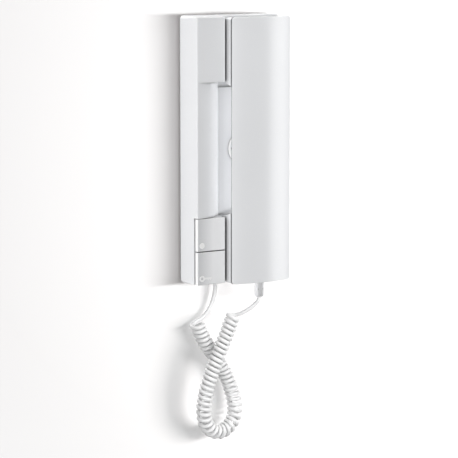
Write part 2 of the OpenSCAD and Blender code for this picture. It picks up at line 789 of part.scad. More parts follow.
module handset_front() color("white") stand() {
    middle = [hand_x, crown_z - crown_r];
    edge_tilt = asin(handset_w / 2 / crown_r);
    difference() {
        union() {
            difference() {
                intersection() {
                    run_up(hand_bottom, hand_top) difference() {
                        intersection() {
                            polygon(rect(hand_left, split_z, hand_right, crown_z));
                            translate(middle) circle(crown_r, $fn = 256);
                        }
                        corner_sliver([hand_left, split_z], [hand_left, handset_edge_z],
                            [hand_left + cos(edge_tilt), handset_edge_z + sin(edge_tilt)], edge_r);
                        corner_sliver([hand_right, split_z], [hand_right, handset_edge_z],
                            [hand_right - cos(edge_tilt), handset_edge_z + sin(edge_tilt)], edge_r);
                    }
                    slab(0, crown_z) handset_outline(0);
                }
                run_up(hand_bottom + shell_wall, hand_top - shell_wall) intersection() {
                    polygon(rect(hand_left, split_z - over, hand_right, crown_z));
                    translate(middle) circle(crown_r - shell_wall, $fn = 256);
                }
            }
            rod(ear_screw, boss_r, ear_z + screw_sink + post_wall, crown_z - shell_wall / 2);
            rod(mouth_screw, boss_r, mouth_z + screw_sink + post_wall, crown_z - shell_wall / 2);
        }
        rod(ear_screw, screw_r + 0.1, 0, ear_z + screw_sink + screw_l + over);
        rod(mouth_screw, screw_r + 0.1, 0, mouth_z + screw_sink + screw_l + over);
    }
}

module handset_screws() color("silver") stand()
    for (place = [[ear_screw, ear_z], [mouth_screw, mouth_z]]) translate([0, 0, place[1] + screw_sink]) {
        rod(place[0], screw_r, 0, screw_l);
        difference() {
            rod(place[0], screw_head_r, -screw_head_t, 0);
            translate([place[0].x, place[0].y, -screw_head_t - over])
                for (turn = [0, 90]) rotate(turn)
                    box([-1.6, -0.35, 0], [1.6, 0.35, over + screw_head_t / 2]);
        }
    }

module ear_gasket() color("dimgray") stand()
    ring([hand_x, ear_y], ear_r - gasket_w, ear_r, ear_floor, ear_floor + gasket_t);

module ear_speaker() color("gray") stand() translate([hand_x, ear_y, ear_floor + gasket_t])
    rotate_extrude() polygon([
        [0, 1], [ear_r - gasket_w, 0], [ear_r, 0], [ear_r, ear_rim], [ear_r - gasket_w, ear_basket],
        [ear_magnet_r, ear_basket], [ear_magnet_r, ear_basket + ear_magnet_t],
        [0, ear_basket + ear_magnet_t]
    ]);

module mic_boot() color("dimgray") stand() difference() {
    at = [hand_x, mic_y];
    rod(at, mic_r + boot_wall, mouth_floor, mouth_floor + boot_wall + mic_t);
    rod(at, mic_r + 0.1, mouth_floor + boot_wall, mouth_floor + boot_wall + mic_t + over);
    rod(at, mic_r / 2, mouth_floor - over, mouth_floor + boot_wall + over);
}

module microphone() color("silver") stand()
    rod([hand_x, mic_y], mic_r, mouth_floor + boot_wall, mouth_floor + boot_wall + mic_t);

module handset_jack() color("dimgray") stand() translate([plug_x, jack_y, 0]) difference() {
    box([-jack_w / 2, 0, jack_z], [jack_w / 2, jack_l, plug_z + plug_t + jack_wall]);
    box([-plug_w / 2 - fit, -over, plug_z - fit],
        [plug_w / 2 + fit, plug_top - jack_y + fit, plug_z + plug_t + fit]);
}

module contact_row(grow) for (i = [0 : contact_count - 1])
    translate([plug_x + (i - (contact_count - 1) / 2) * contact_pitch, plug_top, plug_z])
        box([-contact_w / 2 - grow, -contact_l - grow, -grow], [contact_w / 2 + grow, grow, contact_t]);

module handset_plug() color("white") stand() difference() {
    run_up(plug_bottom, plug_top) rounded(
        rect(plug_x - plug_w / 2, plug_z, plug_x + plug_w / 2, plug_z + plug_t), [for (i = [1 : 4]) 0.6]);
    box([plug_x - plug_groove_w / 2, plug_bottom + over, plug_z + plug_t - plug_groove_t],
        [plug_x + plug_groove_w / 2, hand_bottom + over, plug_z + plug_t + over]);
    for (side = [-1, 1])
        rod([plug_x + side * dimple_x, dimple_y], dimple_r, plug_z + plug_t - 1, plug_z + plug_t + over);
    contact_row(0.05);
}

module plug_contacts() color("gold") stand() contact_row(0);

// A tube through rings of points, closed at both ends
module tube(rings) {
    n = len(rings);
    s = len(rings[0]);
    polyhedron(
        points = [for (r = rings) each r],
        faces = concat(
            [
                for (i = [0 : n - 2], j = [0 : s - 1])
                    [i * s + j, (i + 1) * s + j, (i + 1) * s + (j + 1) % s]
            ],
            [
                for (i = [0 : n - 2], j = [0 : s - 1])
                    [i * s + j, (i + 1) * s + (j + 1) % s, i * s + (j + 1) % s]
            ],
            [for (j = [1 : s - 2]) [0, j, j + 1]],
            [for (j = [1 : s - 2]) (n - 1) * s * [1, 1, 1] + [0, j + 1, j]]));
}

function ring_points(at, a, b, sides) = [
    for (i = [0 : sides - 1]) at + cord_d / 2 * (cos(360 * i / sides) * a + sin(360 * i / sides) * b)
];
function out_normal(t) = unit([0, 0, 1] - t.z * t);

// A smooth curve that the points steer, with one span for each unit of u
function curve_at(p, u) =
    let (i = max(0, min(floor(u), len(p) - 4)), f = u - i)
    ((1 - f) ^ 3 * p[i] + (3 * f ^ 3 - 6 * f ^ 2 + 4) * p[i + 1]
        + (1 + 3 * f + 3 * f ^ 2 - 3 * f ^ 3) * p[i + 2] + f ^ 3 * p[i + 3]) / 6;

function axis_at(k) = curve_at(curl_axis, k / rings_per_span);
function curl_at(k) =
    let (
        t = unit(axis_at(k + step) - axis_at(k - step)),
        n = out_normal(t),
        a = 180 - 360 * k / rings_per_curl
    )
    axis_at(k) + curl_r * (cos(a) * n + sin(a) * cross(t, n));
function curl_dir(k) = unit(curl_at(k + step) - curl_at(k - step));
function curl_ring(k, ahead) =
    let (t = curl_dir(k), r = curl_at(k) - axis_at(k), a = unit(r - (r * t) * t))
    ring_points(curl_at(k) + ahead * t, a, cross(t, a), curl_sides);

// The curls wind to the left; each end of the wound length runs straight for one cord diameter
module cord_curls() color("white") stand() {
    middles = [for (k = [0 : last_ring]) curl_at(k)];
    least = min([
        for (i = [0 : last_ring - 5]) min([for (j = [i + 5 : last_ring]) norm(middles[i] - middles[j])])
    ]);
    echo(least_gap_between_curls = least - cord_d);
    tube(concat(
        [curl_ring(0, -cord_d)],
        [for (k = [0 : last_ring]) curl_ring(k, 0)],
        [curl_ring(last_ring, cord_d)]));
}

function tail_rings(points, first_dir, last_dir) = let (n = len(points) - 1) [
    for (i = [0 : n])
        let (
            t = i == 0 ? first_dir : i == n ? last_dir : unit(points[i + 1] - points[i - 1]),
            a = out_normal(t)
        )
        ring_points(points[i], a, cross(t, a), tail_sides)
];

module cord_base_tail() color("white") stand() {
    start = [exit_x, bush_end_y, exit_z];
    end = curl_at(0) - cord_d * curl_dir(0);
    tube(tail_rings(concat([start], base_tail_points, [end]), down, curl_dir(0)));
}

module cord_handset_tail() color("white") stand() {
    start = curl_at(last_ring) + cord_d * curl_dir(last_ring);
    end = [plug_x, plug_bottom, plug_mid_z];
    tube(tail_rings(concat([start], handset_tail_points, [end]), curl_dir(last_ring), -down));
}

wall_plate();
base_cover();
speaker_grille();
call_speaker();
circuit_board();
board_screws();
terminal_block();
terminal_screws();
light_switch();
door_switch();
hook_switch();
cord_bush();
cord_lead();
cord_connector();
light_button();
light_plunger();
door_button();
door_plunger();
hook_plunger();
handset_front();
handset_back();
ear_speaker();
ear_gasket();
microphone();
mic_boot();
handset_jack();
handset_plug();
plug_contacts();
handset_screws();
cord_base_tail();
cord_curls();
cord_handset_tail();
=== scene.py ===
import json
import math
import bpy
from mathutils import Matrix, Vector


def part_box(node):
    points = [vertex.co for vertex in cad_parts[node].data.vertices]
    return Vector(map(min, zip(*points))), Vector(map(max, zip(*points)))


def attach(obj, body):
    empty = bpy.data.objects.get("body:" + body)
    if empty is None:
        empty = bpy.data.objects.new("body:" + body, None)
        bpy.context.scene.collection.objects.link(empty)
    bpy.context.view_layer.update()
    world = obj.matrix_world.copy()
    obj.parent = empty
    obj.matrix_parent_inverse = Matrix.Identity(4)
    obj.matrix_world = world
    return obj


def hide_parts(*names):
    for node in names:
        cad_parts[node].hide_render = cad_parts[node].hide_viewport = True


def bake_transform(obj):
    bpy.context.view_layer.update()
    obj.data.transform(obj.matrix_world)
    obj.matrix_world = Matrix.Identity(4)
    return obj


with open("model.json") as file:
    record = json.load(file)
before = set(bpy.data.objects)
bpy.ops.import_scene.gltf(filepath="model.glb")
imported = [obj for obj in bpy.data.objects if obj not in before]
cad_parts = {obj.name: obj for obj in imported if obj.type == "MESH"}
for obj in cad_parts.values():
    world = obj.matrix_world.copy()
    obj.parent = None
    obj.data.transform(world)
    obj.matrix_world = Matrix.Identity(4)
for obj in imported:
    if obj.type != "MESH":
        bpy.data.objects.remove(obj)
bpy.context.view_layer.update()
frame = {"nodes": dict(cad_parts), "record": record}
nodes = frame["nodes"]
mm = 0.001


def linear(hexColour):      # sRGB hex to linear light
    parts = [int(hexColour[i:i + 2], 16) / 255 for i in (1, 3, 5)]
    return [c / 12.92 if c <= 0.04045 else ((c + 0.055) / 1.055) ** 2.4 for c in parts] + [1]


def addNode(tree, kind, settings={}, links={}):     # sockets go by name, or by number where names repeat
    node = tree.nodes.new(kind)
    for key, value in settings.items():
        if isinstance(key, int) or key in node.inputs:
            node.inputs[key].default_value = value
        else:
            setattr(node, key, value)
    for key, socket in links.items():
        tree.links.new(socket, node.inputs[key])
    return node


def deselectAll():
    if bpy.context.object and bpy.context.object.mode != "OBJECT":
        bpy.ops.object.mode_set(mode="OBJECT")
    bpy.ops.object.select_all(action="DESELECT")


def pickOnly(piece):
    deselectAll()
    piece.select_set(True)
    bpy.context.view_layer.objects.active = piece


def applyPlace(piece):
    pickOnly(piece)
    bpy.ops.object.transform_apply(location=True, rotation=True, scale=True)


def outPoint(x, y, out):    # across, up and out from the wall, in millimetres
    return Vector((x, -out, y)) * mm


def outWay(turn, lift):     # a direction out from the wall, turned to the right and lifted, in degrees
    turn, lift = math.radians(turn), math.radians(lift)
    return Vector((math.sin(turn) * math.cos(lift), -math.cos(turn) * math.cos(lift), math.sin(lift)))


# camera: it looks from the left and a little above, through a long lens; clipEnd is in metres
cameraSetup = {"target": (0, -64, 15), "turn": -32.198, "lift": 8.198, "distance": 1793.25, "lens": 168.5,
               "aimRight": -4.98, "aimUp": -3.54, "sensorWide": 36, "clipEnd": 20}
back = outWay(cameraSetup["turn"], cameraSetup["lift"])
right = Vector((0, 0, 1)).cross(back).normalized()
up = back.cross(right)
cameraData = bpy.data.cameras.new("camera")
cameraData.lens = cameraSetup["lens"]
cameraData.sensor_width = cameraSetup["sensorWide"]
cameraData.clip_end = cameraSetup["clipEnd"]
camera = bpy.data.objects.new("camera", cameraData)
bpy.context.scene.collection.objects.link(camera)
aim = outPoint(*cameraSetup["target"]) + (right * cameraSetup["aimRight"] + up * cameraSetup["aimUp"]) * mm
camera.location = aim + back * cameraSetup["distance"] * mm
camera.rotation_mode = "QUATERNION"
camera.rotation_quaternion = (-back).to_track_quat("-Z", "Y")
bpy.context.scene.camera = camera
print("camera placed")

# cord: a plain tail from the base, curls wound to the left, and a plain tail up to the plug;
# points are across, up and out from the wall, and curlAxis steers the middle of the curls
cordSetup = {
    "diameter": 3.4, "sides": 10, "curlRadius": 4.85, "curlsPerSpan": 2, "stepsPerCurl": 20,
    "startAngle": 180, "slopeStep": 0.001, "tailSteps": 4, "straightOut": 3,
    "exit": (-13.5, -113.4, 5.2), "plugEnd": (14.8, -124, 29.3),
    "baseTail": [(-13.6, -117.5, 5.2), (-14.2, -122.5, 5), (-15.6, -128, 4.8), (-17.8, -133, 4.6),
                 (-20.6, -137.4, 4.4), (-24, -140.8, 4.2), (-27.8, -143.2, 4)],
    "handsetTail": [(-2.2, -139.6, 20), (1.8, -138.2, 22.2), (5.8, -135.6, 24.8), (9.6, -132.4, 27),
                    (12.6, -129.2, 28.6), (14.4, -126.6, 29.4)],
    "curlAxis": [(-36.6, -138.6, 9), (-33.8, -146, 9), (-30.6, -153.4, 9), (-26.8, -160.6, 9),
                 (-22.2, -167.4, 9), (-17.2, -173.8, 9), (-12.4, -180.4, 9), (-8.2, -187.2, 9),
                 (-4.6, -194.6, 9.2), (-1.4, -202.4, 9.8), (1.2, -211, 10.4), (2.8, -220.4, 11),
                 (1, -230.4, 12), (-6, -237.8, 13.1), (-16, -240.2, 14.3), (-25.4, -236.4, 15.6),
                 (-31.4, -228.2, 16.8), (-33.2, -218.4, 18), (-32.8, -209.2, 19), (-31.4, -200.8, 20),
                 (-29.2, -192.6, 21), (-26.6, -184.8, 21.8), (-23.8, -177, 22.6), (-20.8, -169.4, 23.2),
                 (-17.6, -161.8, 23.8), (-14.4, -154.2, 24.2), (-11.2, -146.6, 24.6), (-8, -139, 24.9),
                 (-4.8, -131.4, 25.2)],
}


def axisAt(points, u):      # a smooth curve that the points steer, u spans along it (cubic B-spline)
    i = max(0, min(math.floor(u), len(points) - 4))
    f = u - i
    a, b, c, d = [Vector(p) for p in points[i:i + 4]]
    return (a * (1 - f) ** 3 + b * (3 * f ** 3 - 6 * f ** 2 + 4) + c * (1 + 3 * f + 3 * f ** 2 - 3 * f ** 3)
            + d * f ** 3) / 6


def curlAt(u):      # the point of the helix that is wound on that curve
    points, step = cordSetup["curlAxis"], cordSetup["slopeStep"]
    along = (axisAt(points, u + step) - axisAt(points, u - step)).normalized()
    outward = (Vector((0, 0, 1)) - along * along.z).normalized()
    angle = math.radians(cordSetup["startAngle"] - 360 * cordSetup["curlsPerSpan"] * u)
    around = outward * math.cos(angle) + along.cross(outward) * math.sin(angle)
    return axisAt(points, u) + around * cordSetup["curlRadius"]


def throughPoints(points, perSpan):     # a smooth line through the points; the two ends only set the slope
    line = []
    for a, b, c, d in zip(points, points[1:], points[2:], points[3:]):
        bend = a * 2 - b * 5 + c * 4 - d
        twist = b * 3 - a - c * 3 + d
        for i in range(perSpan):
            f = i / perSpan
            line.append(b + ((c - a) * f + bend * f ** 2 + twist * f ** 3) / 2)
    return line


spans = len(cordSetup["curlAxis"]) - 3
stepCount = spans * cordSetup["curlsPerSpan"] * cordSetup["stepsPerCurl"]
curlLine = [curlAt(spans * k / stepCount) for k in range(stepCount + 1)]
curlIn = (curlLine[1] - curlLine[0]).normalized()
curlOut = (curlLine[-1] - curlLine[-2]).normalized()
start, end = Vector(cordSetup["exit"]), Vector(cordSetup["plugEnd"])
straight = Vector((0, cordSetup["straightOut"], 0))
lead = cordSetup["diameter"]    # the tails run this far in line with the first and the last curl
basePoints = [start + straight, start] + [Vector(p) for p in cordSetup["baseTail"]]
basePoints += [curlLine[0] - curlIn * lead, curlLine[0], curlLine[2]]
handsetPoints = [curlLine[-3], curlLine[-1], curlLine[-1] + curlOut * lead]
handsetPoints += [Vector(p) for p in cordSetup["handsetTail"]] + [end, end + straight]
baseLine = throughPoints(basePoints, cordSetup["tailSteps"])
handsetLine = throughPoints(handsetPoints, cordSetup["tailSteps"])
cordLine = [outPoint(*p) for p in baseLine + curlLine + handsetLine[1:] + [end]]
curveData = bpy.data.curves.new("cordLine", "CURVE")
curveData.dimensions = "3D"
curveData.bevel_depth = cordSetup["diameter"] * mm / 2
curveData.bevel_resolution = cordSetup["sides"] // 2 - 2
curveData.use_fill_caps = True
spline = curveData.splines.new("POLY")
spline.points.add(len(cordLine) - 1)
for point, place in zip(spline.points, cordLine):
    point.co = (*place, 1)
cord = bpy.data.objects.new("curlyCord", curveData)
bpy.context.scene.collection.objects.link(cord)
pickOnly(cord)
bpy.ops.object.convert(target="MESH")
cord = bpy.context.object
bpy.ops.object.shade_smooth()

# plain signs printed on the two keys: a lamp's dot and a door key, a thin layer of ink on the keys' face
signSetup = {"faceOut": 26.5, "rise": 0.05, "sink": 0.1, "sides": 48,
             "lampAt": (-39.3, -77.3), "lampRadius": 2.5,
             "bowAt": (-39.3, -104.8), "bowRadius": 2.6, "bowHole": 1.1, "cutDepth": 3,
             "shaftEnd": -30.2, "shaftHalf": 0.8, "shaftIn": 0.4,
             "teeth": [(-31.8, 1), (-33.8, 1)], "toothDrop": 1.5}
signDeep = signSetup["rise"] + signSetup["sink"]
signOut = signSetup["faceOut"] + (signSetup["rise"] - signSetup["sink"]) / 2


def signDisc(name, at, radius):
    bpy.ops.mesh.primitive_cylinder_add(vertices=signSetup["sides"], radius=radius * mm, depth=signDeep * mm,
                                        location=outPoint(*at, signOut), rotation=(math.pi / 2, 0, 0))
    disc = bpy.context.object
    disc.name = name
    applyPlace(disc)
    return disc


def signBar(x0, x1, y0, y1):
    bpy.ops.mesh.primitive_cube_add(size=1, location=outPoint((x0 + x1) / 2, (y0 + y1) / 2, signOut),
                                    scale=((x1 - x0) * mm, signDeep * mm, (y1 - y0) * mm))
    bar = bpy.context.object
    applyPlace(bar)
    return bar


def combine(piece, other, operation):
    tool = piece.modifiers.new(operation.lower(), "BOOLEAN")
    tool.operation = operation
    tool.solver = "EXACT"
    tool.object = other
    pickOnly(piece)
    bpy.ops.object.modifier_apply(modifier=tool.name)
    bpy.data.objects.remove(other)


deselectAll()
lampSign = signDisc("lampSign", signSetup["lampAt"], signSetup["lampRadius"])
keySign = signDisc("keySign", signSetup["bowAt"], signSetup["bowRadius"])
bowX, bowY = signSetup["bowAt"]
shaft = signBar(bowX + signSetup["bowRadius"] - signSetup["shaftIn"], signSetup["shaftEnd"],
                bowY - signSetup["shaftHalf"], bowY + signSetup["shaftHalf"])
combine(keySign, shaft, "UNION")
for toothX, toothWide in signSetup["teeth"]:
    combine(keySign, signBar(toothX, toothX + toothWide, bowY - signSetup["toothDrop"], bowY), "UNION")
hole = signDisc("bowHole", signSetup["bowAt"], signSetup["bowHole"])
hole.scale = (1, signSetup["cutDepth"], 1)      # deeper than the ink, and moved back to the keys' face
hole.location.y = (signSetup["cutDepth"] - 1) * signSetup["faceOut"] * mm
applyPlace(hole)
combine(keySign, hole, "DIFFERENCE")
print("signs cut")

surfaceSetup = {"grainDeep": 0.05, "edgeSamples": 6, "creaseSamples": 8}


def startMaterial(name):
    material = bpy.data.materials.new(name)
    material.use_nodes = True
    tree = material.node_tree
    tree.nodes.clear()
    return material, tree


def cloudedColour(tree, coords, size, detail, setup):   # two shades of a colour, in clouds of a size in mm
    clouds = addNode(tree, "ShaderNodeTexNoise", {"Scale": 1 / (size * mm), "Detail": detail},
                     {"Vector": coords.outputs["Object"]})
    tint = addNode(tree, "ShaderNodeMix",
                   {"data_type": "RGBA", "A": linear(setup["colour"]), "B": linear(setup["shade"])},
                   {"Factor": clouds.outputs["Fac"]})
    return clouds, tint


def paintedCreaseShade(tree, colour, setup):     # painted shade, darker where ambient occlusion finds joints and inner corners
    creaseShade = addNode(tree, "ShaderNodeAmbientOcclusion",
                     {"samples": surfaceSetup["creaseSamples"], "Distance": setup["reach"] * mm})
    return addNode(tree, "ShaderNodeMix", {"data_type": "RGBA", "A": linear(setup["creaseShade"])},
                   {"Factor": creaseShade.outputs["AO"], "B": colour.outputs["Result"]})


def closeMaterial(tree, colour, grain, setup, normal={}):      # roughness and bump follow the grain
    rough = addNode(tree, "ShaderNodeMapRange", {"To Min": setup["rough"][0], "To Max": setup["rough"][1]},
                    {"Value": grain.outputs["Fac"]})
    bump = addNode(tree, "ShaderNodeBump",
                   {"Strength": setup["bump"], "Distance": surfaceSetup["grainDeep"] * mm},
                   {"Height": grain.outputs["Fac"], **normal})
    shader = addNode(tree, "ShaderNodeBsdfPrincipled", setup["shader"],
                     {"Base Color": colour.outputs["Result"], "Roughness": rough.outputs["Result"],
                      "Normal": bump.outputs["Normal"]})
    addNode(tree, "ShaderNodeOutputMaterial", {}, {"Surface": shader.outputs["BSDF"]})


# ABS moulded in a spark-eroded tool: satin, a soft wide highlight, a painted highlight on rounded edges
# and painted shade in the joints. The real grain is about 0.1 mm; it is drawn at 0.9 mm so that a pixel can
# show it. The painted rim highlight shows where the rounded normal leaves the face's own, as a cosine. A
# joint is a distance from the wall.
absSetup = {"grain": 0.9, "grainDetail": 3, "flowDetail": 2, "rough": (0.22, 0.3), "bump": 0.06,
            "shader": {"IOR": 1.54}, "rim": "#FFFFFF", "rimFrom": 0.995, "rimTo": 0.9,
            "jointShade": "#8C8D8F", "jointHalf": 1}
# each piece's dark crease colour is painted shade in joints and inner corners, spread over its reach in mm
absPieces = {
    "absSatinWhite": {"colour": "#ECEDEF", "shade": "#E6E7E9", "flow": 60, "edge": 0.8,
                      "creaseShade": "#202020", "reach": 2.5, "joint": 0.8},
    "absSatinGrip": {"colour": "#ECEDEF", "shade": "#E6E7E9", "flow": 60, "edge": 0.6,
                     "creaseShade": "#303030", "reach": 8, "joint": 33.2},
    "absGrilleWhite": {"colour": "#FFFFFF", "shade": "#FAFAFA", "flow": 60, "edge": 0.3,
                       "creaseShade": "#101010", "reach": 1.2},
    # the keys' face is painted grey towards its left as shade, with a painted white highlight along its left
    # edge
    "absSatinKeyPaintedShade": {"colour": "#F8F8FA", "shade": "#F4F5F6", "flow": 40, "edge": 1,
                        "creaseShade": "#202020", "reach": 4,
                        "left": "#D0D1D3", "fade": (2, 15), "edgeHighlight": (0.2, 0.6)},
}
moulded = {}
for name, setup in absPieces.items():
    moulded[name], tree = startMaterial(name)
    coords = addNode(tree, "ShaderNodeTexCoord")
    place = addNode(tree, "ShaderNodeSeparateXYZ", {}, {"Vector": coords.outputs["Object"]})
    grain = addNode(tree, "ShaderNodeTexNoise",
                    {"Scale": 1 / (absSetup["grain"] * mm), "Detail": absSetup["grainDetail"]},
                    {"Vector": coords.outputs["Object"]})
    tint = cloudedColour(tree, coords, setup["flow"], absSetup["flowDetail"], setup)[1]
    if "left" in setup:     # painted shade: grey that fades across the key's face towards its left, and a painted highlight on its left edge
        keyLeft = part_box("light_button")[0][0]
        for (near, far), colour in ((setup["fade"], setup["left"]), (setup["edgeHighlight"], absSetup["rim"])):
            across = addNode(tree, "ShaderNodeMapRange",
                             {"From Min": keyLeft + near * mm, "From Max": keyLeft + far * mm},
                             {"Value": place.outputs["X"]})
            tint = addNode(tree, "ShaderNodeMix", {"data_type": "RGBA", "A": linear(colour)},
                           {"Factor": across.outputs["Result"], "B": tint.outputs["Result"]})
    edge = addNode(tree, "ShaderNodeBevel",
                   {"samples": surfaceSetup["edgeSamples"], "Radius": setup["edge"] * mm})
    face = addNode(tree, "ShaderNodeNewGeometry")
    level = addNode(tree, "ShaderNodeVectorMath", {"operation": "DOT_PRODUCT"},
                    {0: edge.outputs["Normal"], 1: face.outputs["Normal"]})
    # painted highlight: white along rounded edges, where the rounded normal leaves the face's own
    rim = addNode(tree, "ShaderNodeMapRange",
                  {"From Min": absSetup["rimFrom"], "From Max": absSetup["rimTo"]},
                  {"Value": level.outputs["Value"]})
    paintedLightAndShade = addNode(tree, "ShaderNodeMix", {"data_type": "RGBA", "B": linear(absSetup["rim"])},
                   {"Factor": rim.outputs["Result"], "A": tint.outputs["Result"]})
    if "joint" in setup:    # shade in the joint of the two shells, or in the gap against the wall
        joint = addNode(tree, "ShaderNodeMath",
                        {"operation": "COMPARE", 1: -setup["joint"] * mm, 2: absSetup["jointHalf"] * mm},
                        {0: place.outputs["Y"]})
        paintedLightAndShade = addNode(tree, "ShaderNodeMix", {"data_type": "RGBA", "B": linear(absSetup["jointShade"])},
                       {"Factor": joint.outputs[0], "A": paintedLightAndShade.outputs["Result"]})
    shaded = paintedCreaseShade(tree, paintedLightAndShade, setup)
    closeMaterial(tree, shaded, grain, absSetup, {"Normal": edge.outputs["Normal"]})

# soft PVC jacket, extruded: smooth along the cord, a soft sheen, and painted shade only where two curls meet
pvcSetup = {"colour": "#F6F6F6", "shade": "#F0F0F0", "ripple": 1.4, "rippleDetail": 2, "creaseShade": "#707070",
            "reach": 0.9, "rough": (0.28, 0.38), "bump": 0.08, "shader": {"IOR": 1.53}}
pvcWhite, tree = startMaterial("pvcCordWhite")
coords = addNode(tree, "ShaderNodeTexCoord")
ripple, tint = cloudedColour(tree, coords, pvcSetup["ripple"], pvcSetup["rippleDetail"], pvcSetup)
closeMaterial(tree, paintedCreaseShade(tree, tint, pvcSetup), ripple, pvcSetup)

# the unseen and the small pieces, each in two close shades with a grain in millimetres
plainDetail, plainBump = 3, 0.08
plainSetup = {
    # ABS from a dull tool: flat grey with hardly a highlight, on the wall plate and the terminal block
    "absMattGrey": {"colour": "#A4A5A6", "shade": "#9A9B9D", "grain": 1, "rough": (0.5, 0.62)},
    # moulded nylon: nearly black and dull, on switches and speaker baskets
    "nylonBlack": {"colour": "#1C1C1D", "shade": "#262627", "grain": 0.8, "rough": (0.42, 0.56)},
    # moulded acetal: waxy, on the plungers
    "acetalRed": {"colour": "#A33A24", "shade": "#96301C", "grain": 0.8, "rough": (0.3, 0.4)},
    # glass epoxy under solder lacquer: glossy, with its weave just showing, on the board
    "glassEpoxyGreen": {"colour": "#1E6B3F", "shade": "#185A34", "grain": 1.2, "rough": (0.25, 0.36)},
    # moulded neoprene: black without a highlight, on the gasket and the microphone's boot
    "neopreneBlack": {"colour": "#202021", "shade": "#2A2A2B", "grain": 0.7, "rough": (0.7, 0.82)},
    # zinc-plated steel: grey with fine crystals, on screws and the microphone's can
    "steelZinc": {"colour": "#B9BABC", "shade": "#A5A7AB", "grain": 0.6, "rough": (0.28, 0.45),
                  "metallic": 1},
    # plated brass: pale gold and bright, on the plug's contacts
    "brassPlated": {"colour": "#D9B45A", "shade": "#C79F48", "grain": 0.6, "rough": (0.22, 0.34),
                    "metallic": 1},
    # pad-printed ink: white and flat, on the signs
    "inkWhite": {"colour": "#FFFFFF", "shade": "#FAFAFA", "grain": 0.8, "rough": (0.4, 0.5)},
}
plain = {}
for name, setup in plainSetup.items():
    plain[name], tree = startMaterial(name)
    coords = addNode(tree, "ShaderNodeTexCoord")
    grain, tint = cloudedColour(tree, coords, setup["grain"], plainDetail, setup)
    surface = {"rough": setup["rough"], "bump": plainBump, "shader": {"Metallic": setup.get("metallic", 0)}}
    closeMaterial(tree, tint, grain, surface)

finish = {
    moulded["absSatinWhite"]: ["base_cover", "cord_bush", "handset_plug"],
    moulded["absSatinGrip"]: ["handset_front", "handset_back"],
    moulded["absGrilleWhite"]: ["speaker_grille"],
    moulded["absSatinKeyPaintedShade"]: ["light_button", "door_button"],
    pvcWhite: ["cord_lead", "cord_base_tail", "cord_curls", "cord_handset_tail"],
    plain["absMattGrey"]: ["wall_plate", "terminal_block", "cord_connector", "hook_plunger"],
    plain["nylonBlack"]: ["call_speaker", "light_switch", "door_switch", "hook_switch", "ear_speaker",
                          "handset_jack"],
    plain["acetalRed"]: ["light_plunger", "door_plunger"],
    plain["glassEpoxyGreen"]: ["circuit_board"],
    plain["neopreneBlack"]: ["ear_gasket", "mic_boot"],
    plain["steelZinc"]: ["board_screws", "terminal_screws", "microphone", "handset_screws"],
    plain["brassPlated"]: ["plug_contacts"],
}
for material, names in finish.items():
    for name in names:
        nodes[name].data.materials.clear()
        nodes[name].data.materials.append(material)
cord.data.materials.append(pvcWhite)
lampSign.data.materials.append(plain["inkWhite"])
keySign.data.materials.append(plain["inkWhite"])
print("materials set")


def backgroundRay(tree):    # 1 for rays that show the background: straight, mirrored or through clear things
    lightPath = addNode(tree, "ShaderNodeLightPath")
    shown = lightPath.outputs["Is Camera Ray"]
    for other in ("Is Glossy Ray", "Is Transmission Ray"):
        either = addNode(tree, "ShaderNodeMath", {"operation": "MAXIMUM"},
                         {0: shown, 1: lightPath.outputs[other]})
        shown = either.outputs[0]
    return shown


# wall and floor, in metres: white paint that keeps the soft shadow, with painted contact shade close to the
# object, pure white far off, clear from behind; the light that it throws back on the object is that of a
# greyer paint
stageSetup = {"wallWide": 6, "wallUp": 3, "wallDown": 1.2, "wallGap": 0.0004, "floorDeep": 4,
              "whiteFrom": 0.24, "whiteTo": 0.5}
paintSetup = {"paint": "#D0D0D0", "contactShade": "#909090", "contactReach": 1, "bounce": "#909090"}
wallMiddle = (stageSetup["wallUp"] - stageSetup["wallDown"]) / 2
bpy.ops.mesh.primitive_plane_add(size=1, location=(0, stageSetup["wallGap"], wallMiddle),
                                 rotation=(math.pi / 2, 0, 0))
wall = bpy.context.object
wall.name = "wall"
wall.scale = (stageSetup["wallWide"], stageSetup["wallUp"] + stageSetup["wallDown"], 1)
applyPlace(wall)
bpy.ops.mesh.primitive_plane_add(size=1, location=(0, -stageSetup["floorDeep"] / 2, -stageSetup["wallDown"]))
floor = bpy.context.object
floor.name = "floor"
floor.scale = (stageSetup["wallWide"], stageSetup["floorDeep"], 1)
applyPlace(floor)
wallPaint, tree = startMaterial("wallPaintWhite")
shown = backgroundRay(tree)
# painted contact shade: the wall is darker where ambient occlusion finds the object close by
contactShade = addNode(tree, "ShaderNodeAmbientOcclusion",
                  {"samples": surfaceSetup["creaseSamples"], "Distance": paintSetup["contactReach"] * mm})
tint = addNode(tree, "ShaderNodeMix",
               {"data_type": "RGBA", "A": linear(paintSetup["contactShade"]), "B": linear(paintSetup["paint"])},
               {"Factor": contactShade.outputs["AO"]})
seen = addNode(tree, "ShaderNodeMix", {"data_type": "RGBA", "A": linear(paintSetup["bounce"])},
               {"Factor": shown, "B": tint.outputs["Result"]})
paint = addNode(tree, "ShaderNodeBsdfDiffuse", {}, {"Color": seen.outputs["Result"]})
glow = addNode(tree, "ShaderNodeEmission", {"Color": linear("#FFFFFF"), "Strength": 1})
coords = addNode(tree, "ShaderNodeTexCoord")
away = addNode(tree, "ShaderNodeVectorMath", {"operation": "LENGTH"}, {"Vector": coords.outputs["Object"]})
far = addNode(tree, "ShaderNodeMapRange",
              {"From Min": stageSetup["whiteFrom"], "From Max": stageSetup["whiteTo"]},
              {"Value": away.outputs["Value"]})
farSeen = addNode(tree, "ShaderNodeMath", {"operation": "MULTIPLY"}, {0: far.outputs["Result"], 1: shown})
white = addNode(tree, "ShaderNodeMixShader", {},
                {"Fac": farSeen.outputs[0], 1: paint.outputs[0], 2: glow.outputs[0]})
